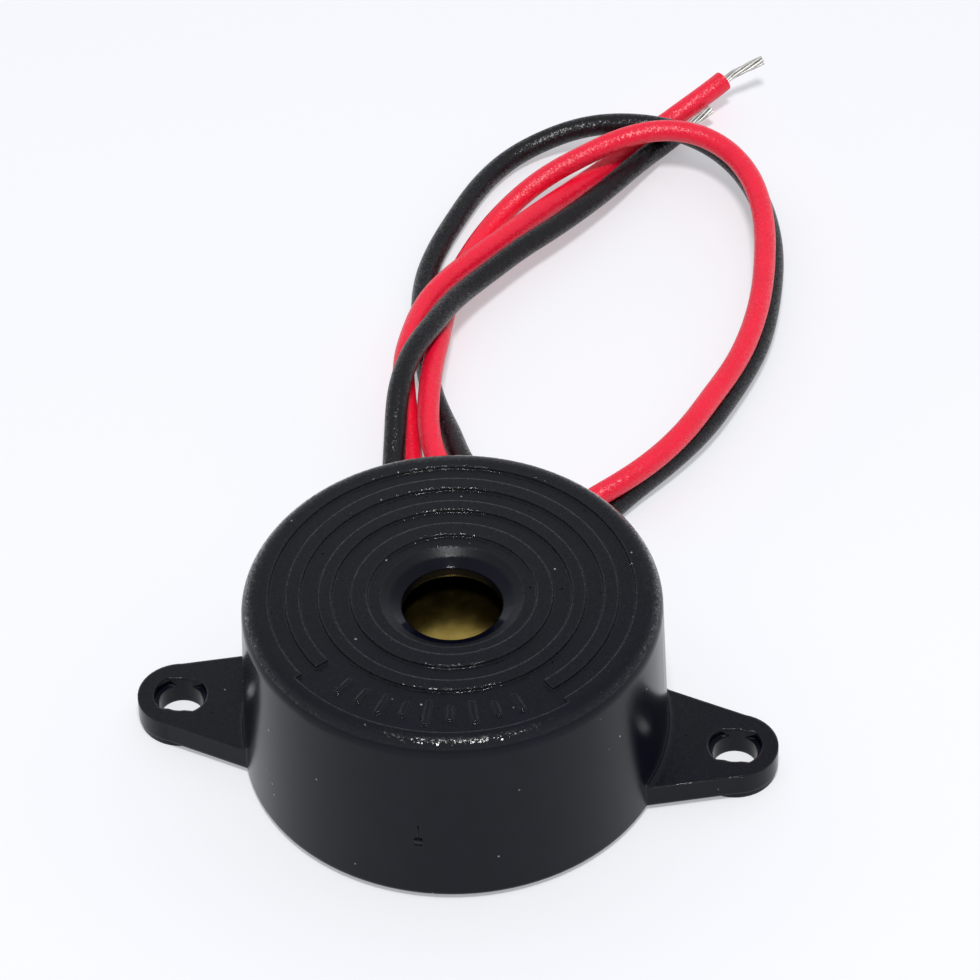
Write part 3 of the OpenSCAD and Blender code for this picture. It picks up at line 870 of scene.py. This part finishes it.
@dataclass
class Lead:
    """One lead: its insulation, laid along its route, and its bare tinned strands.

    Attributes:
        side: Which lead it is.
        route: Points of the centre line in millimetres, from the back of the wall.
        tip_end: Where the bare strands end, measured the same way.
        length: Length of the insulation, in metres. Not used.
        finish: Finish of the insulation.
        wall_y: Where the back of the wall is, in millimetres as all below.
        diameter: Diameter of the insulation.
        step: Distance between the points of the drawn curve.
        ease: Length over which the given points are evened out.
        exit_z: Height at which the lead leaves the notch.
        half_pitch: Distance of each lead from the middle of the notch.
        root_start_y: Where the strands come out of the insulation inside.
        root_end_y: Where they end on their pad.
        tip_tuck: How far the strands at the free end reach back into the insulation.
        tip_straight: How far they run straight out of it.
        strand_d: Diameter of one strand.
        ring_strands: Number of strands round the core one.
        strand_steps: Steps along each strand.
        lay_mm: Length in which the strands wind once round.
        packing: Distance of the ring from the core, in strand diameters.
        splay: How much wider the bundle is at the free end.
        stray: How unevenly the strands spread there.
    """

    side: Side
    route: Sequence[Point]
    tip_end: Point
    length: float
    finish: Finish

    wall_y: float = 11.0
    diameter: float = 1.25
    step: float = 0.2
    ease: float = 1.2
    exit_z: float = 1.95
    half_pitch: float = 0.75
    root_start_y: float = 8.0
    root_end_y: float = 5.0
    tip_tuck: float = 0.5
    tip_straight: float = 0.8
    strand_d: float = 0.17
    ring_strands: int = 6
    strand_steps: int = 24
    lay_mm: float = 7.0
    packing: float = 0.97
    splay: float = 1.25
    stray: float = 0.4

    def exit_across(self) -> float:
        """Gives the lead's place across the notch, in millimetres."""
        return -self.half_pitch if self.side is Side.RED else self.half_pitch

    def place(self, point: Point) -> Point:
        """Turns a point of the route into metres in the part's frame."""
        return point[0] * MM, (point[1] + self.wall_y) * MM, point[2] * MM

    def build(self) -> None:
        route = [self.place(p) for p in self.route]
        path = smooth_path(route, self.step * MM, self.ease * MM)
        insulation = round_cord(f"{self.side.value}_lead_insulation", path, self.diameter * MM)
        insulation.data.materials.append(self.finish.build())
        strands = self.build_strands()
        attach(insulation, BODY)
        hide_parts(f"{self.side.value}_lead")
        LOG.info("%s and %s laid", insulation.name, strands.name)

    def build_strands(self) -> bpy.types.Object:
        """Makes both bare ends of the conductor, as strands laid round one another.

        Returns:
            The strands, as one piece.
        """
        curve = bpy.data.curves.new(f"{self.side.value}_strands", "CURVE")
        curve.dimensions = "3D"
        curve.bevel_depth = self.strand_d * MM / 2
        curve.bevel_resolution = 3
        curve.use_fill_caps = True
        exit_x = self.exit_across()
        root = [
            (exit_x * MM, self.root_start_y * MM, self.exit_z * MM),
            (exit_x * MM, self.root_end_y * MM, self.exit_z * MM),
        ]
        last = Vector(self.place(self.route[-1]))
        way = (last - Vector(self.place(self.route[-2]))).normalized()
        tip = [
            last - way * self.tip_tuck * MM,
            last + way * self.tip_straight * MM,
            Vector(self.place(self.tip_end)),
        ]
        for line, splay in ((root, 1.0), (tip, self.splay)):
            self.lay_strands(curve, [Vector(p) for p in line], splay)
        piece = bpy.data.objects.new(f"{self.side.value}_strands", curve)
        bpy.context.scene.collection.objects.link(piece)
        curve.materials.append(TINNED_COPPER.build())
        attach(piece, BODY)
        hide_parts(f"{self.side.value}_conductor")
        return piece

    def lay_strands(self, curve: bpy.types.Curve, line: Sequence[Vector], splay: float) -> None:
        """Adds one core strand and a ring of strands that wind round it.

        Args:
            curve: Curve that gets the strands.
            line: Centre line of the bundle.
            splay: How much wider the bundle is at its far end.
        """
        spans = [(b - a).length for a, b in zip(line, line[1:])]
        total = sum(spans)
        for k in range(self.ring_strands + 1):
            is_core = k == self.ring_strands
            # The sine of its number gives each strand a share of its own, the same each time.
            spread = (splay - 1) * (1 + self.stray * math.sin(5 * k))
            spline = curve.splines.new("POLY")
            spline.points.add(self.strand_steps)
            for s, spot in enumerate(spline.points):
                share = s / self.strand_steps
                i, rest = 0, total * share
                while i < len(spans) - 1 and rest > spans[i]:
                    rest -= spans[i]
                    i += 1
                along = (line[i + 1] - line[i]).normalized()
                across = along.cross(Vector((0, 0, 1))).normalized()
                rise = across.cross(along)
                angle = 2 * math.pi * (k / self.ring_strands + total * share / (self.lay_mm * MM))
                radius = 0.0 if is_core else self.packing * self.strand_d * MM * (1 + spread * share**2)
                out = math.cos(angle) * across + math.sin(angle) * rise
                spot.co = (*(line[i] + along * rest + radius * out), 1.0)


@dataclass(frozen=True)
class Pad:
    """Long pad with round ends and a rounded edge, in millimetres.

    Attributes:
        rise: Height of its middle above the nub's.
        width: Its width.
        height: Its height.
        proud: How far it stands out of the wall.
    """

    rise: float
    width: float
    height: float
    proud: float


@dataclass
class GateMark:
    """Scar that the moulding gate leaves low on the wall: a nub, a rib and a witness line.

    Attributes:
        at_x: Place along the wall, in millimetres.
        at_z: Height of the nub's middle.
        wall_r: Radius of the wall at that height, where it leans in a little.
        sunk: How far the mark reaches into the wall, so that it has no gap behind it.
        segments: Steps round each pad.
        edge_share: Radius of a pad's rounded edge, as a share of how far it stands out.
        edge_steps: Steps round that edge.
        nub: Stub that the gate broke off from.
        rib: Thin rib over it.
        witness: Witness line under it.
    """

    at_x: float = -0.23
    at_z: float = 4.25
    wall_r: float = WALL_R_MM - 0.1
    sunk: float = 0.05
    segments: int = 28
    edge_share: float = 0.6
    edge_steps: int = 3
    nub: Pad = Pad(0.0, 0.46, 0.26, 0.07)
    rib: Pad = Pad(0.55, 0.07, 0.9, 0.035)
    witness: Pad = Pad(-0.36, 0.42, 0.05, 0.028)

    def add_pad(self, shape: bmesh.types.BMesh, pad: Pad) -> None:
        """Adds one pad to the mesh, in millimetres.

        Args:
            shape: Mesh that gets the pad.
            pad: Its sizes.
        """
        first = len(shape.verts)
        radius = 0.5 * min(pad.width, pad.height)
        verts = bmesh.ops.create_circle(
            shape, cap_ends=True, segments=self.segments, radius=radius
        )["verts"]
        # The circle's halves move apart. The vertices on its middle line stay.
        for axis, size in enumerate((pad.width, pad.height)):
            for way in (1, -1):
                half = [v for v in verts if way * v.co[axis] > 0.01 * radius]
                shift = Vector((0, 0, 0))
                shift[axis] = way * (0.5 * size - radius)
                bmesh.ops.translate(shape, vec=shift, verts=half)
        edge = self.edge_share * pad.proud
        grown = bmesh.ops.extrude_face_region(shape, geom=[verts[0].link_faces[0]])["geom"]
        lifted = [v for v in grown if isinstance(v, bmesh.types.BMVert)]
        bmesh.ops.translate(shape, vec=(0, 0, pad.proud + self.sunk - edge), verts=lifted)
        bmesh.ops.recalc_face_normals(shape, faces=shape.faces)
        top = [f for f in grown if isinstance(f, bmesh.types.BMFace)]
        turns = [0.5 * math.pi * step / self.edge_steps for step in range(self.edge_steps + 1)]
        for low, high in zip(turns, turns[1:]):
            inward = edge * (math.cos(low) - math.cos(high))
            outward = edge * (math.sin(high) - math.sin(low))
            bmesh.ops.inset_region(
                shape, faces=top, use_even_offset=True, thickness=inward, depth=outward
            )
        shape.verts.ensure_lookup_table()
        part = shape.verts[first:]
        stand = Matrix.Rotation(math.radians(90), 4, "X")
        bmesh.ops.transform(shape, matrix=stand, verts=part)
        place = (self.at_x, self.sunk - self.wall_r, self.at_z + pad.rise)
        bmesh.ops.translate(shape, vec=place, verts=part)

    def build(self, material: bpy.types.Material) -> None:
        """Args:
            material: Plastic of the housing.
        """
        mesh = bpy.data.meshes.new("gate_mark")
        shape = bmesh.new()
        for pad in (self.nub, self.rib, self.witness):
            self.add_pad(shape, pad)
        bmesh.ops.recalc_face_normals(shape, faces=shape.faces)
        bmesh.ops.scale(shape, vec=(MM, MM, MM), verts=shape.verts)
        shape.to_mesh(mesh)
        shape.free()
        piece = bpy.data.objects.new("gate_mark", mesh)
        bpy.context.scene.collection.objects.link(piece)
        mesh.materials.append(material)
        mesh.shade_smooth()
        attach(piece, BODY)
        LOG.info("%s set on the wall", piece.name)


RED_ROUTE: list[Point] = [
    (-0.75, -3, 1.95), (-0.75, 0.6, 1.95), (-1.3, 3.2, 2), (-2.6, 5.9, 2), (-4.1, 8.7, 1.95),
    (-4.8, 10.8, 1.95), (-5.2, 13.2, 1.95), (-5.4, 15.8, 1.95), (-5.45, 19.1, 1.6), (-5.6, 22.4, 0.8),
    (-5.4, 25, 0.65), (-5, 26.9, 0.65), (-4.4, 28.7, 0.8), (-3.2, 30.8, 1.3), (-2, 32.1, 1.9),
    (-0.7, 33.2, 2.4), (0.6, 34, 2.8), (1.9, 34.9, 3.1), (4.3, 36.1, 3.4), (6.7, 36.4, 3.4), (9, 35.4, 3.2),
    (10.8, 33.1, 3), (11.8, 30.2, 2.8), (12.3, 26.6, 2.6), (12.4, 23.2, 2.5), (11.7, 18.2, 2.4),
    (10.5, 14.7, 2.4), (9.5, 12.1, 2.4), (8.1, 9.7, 2.3), (6.6, 7.9, 2.15), (5, 6.6, 1.8), (3.4, 5.6, 1.2),
    (1.6, 4.9, 0.75), (-0.4, 4.5, 0.65), (-2.6, 4.8, 0.65), (-4.3, 6.2, 0.65), (-5.3, 8.3, 0.65),
    (-5.9, 10.8, 0.7), (-6.6, 13.7, 1.3), (-6.9, 14.9, 1.65), (-7.1, 16.2, 1.9), (-7, 18.1, 2),
    (-6.7, 20.7, 2), (-6.1, 22.5, 2), (-5.2, 24.1, 2), (-3.2, 27.2, 1.9), (-1, 30.7, 1.6),
    (0.6, 33.1, 1.35), (2.1, 35.6, 1), (3.4, 38, 0.75), (4.8, 40, 0.75), (6.4, 41.4, 1.4), (8, 42.9, 2),
]
BLACK_ROUTE: list[Point] = [
    (0.75, -3, 1.95), (0.75, 0.6, 1.95), (0.4, 3.2, 2), (-0.8, 6, 1.9), (-2.8, 9.3, 1.4),
    (-3.7, 11.6, 0.95), (-4.6, 13.5, 0.65), (-5.3, 15.1, 0.65), (-5.9, 17, 0.65), (-6.5, 19.5, 0.65),
    (-7, 22.1, 0.65), (-7.2, 24.2, 0.65), (-7, 26.7, 0.65), (-6.2, 30.2, 0.65), (-5, 33.8, 0.65),
    (-3.6, 36, 0.8), (-1.8, 37.3, 1.2), (0.1, 38, 1.7), (2.1, 38.15, 2.1), (4.2, 38, 2.3), (6.2, 37.7, 2.2),
    (8.3, 37, 1.75), (10.2, 35.3, 1.3), (11.6, 32.6, 1.1), (12.5, 29.2, 1.1), (12.8, 25.8, 1.1),
    (12.5, 20.3, 1.1), (11.6, 17, 1.1), (10.2, 13.3, 1.1), (8.4, 10.3, 1), (6.6, 7.9, 0.8),
    (5.5, 6.2, 0.65), (4.4, 4.7, 0.65), (2.8, 3.5, 0.65), (0.8, 2.9, 0.65), (-1.8, 2.7, 0.65),
    (-4.2, 3.4, 0.65), (-5.8, 5.4, 0.9), (-6.4, 8.1, 1.4), (-6.6, 10.2, 2.15), (-6.8, 12.2, 2.8),
    (-6.7, 14.3, 3.1), (-6.4, 16.2, 3.15), (-5.8, 18, 3.05), (-5.3, 19.8, 2.85), (-4.4, 22.1, 2.45),
    (-3.2, 24.1, 2.3), (-1.9, 26.2, 2.2), (-0.4, 28.2, 2.1), (2, 32, 1.8), (4.1, 36.3, 1.2),
    (5, 37.97, 0.95), (5.7, 39, 0.95),
]


def main() -> None:
    """Builds the scene: camera first, then the leads, the finishes and the light."""
    logging.basicConfig(level=logging.INFO, format="%(message)s")
    studio = Studio()
    studio.place_camera()
    Lead(Side.RED, RED_ROUTE, tip_end=(10.2, 44.5, 2.6), length=0.1344, finish=RED_PVC).build()
    Lead(Side.BLACK, BLACK_ROUTE, tip_end=(7.5, 41, 1.4), length=0.1393, finish=BLACK_PVC).build()
    made = dress_cad_nodes()
    GateMark().build(made[BLACK_ABS.name])
    studio.lay_floor()
    studio.hang_lamp()
    studio.fill_room()


if __name__ == "__main__":
    main()
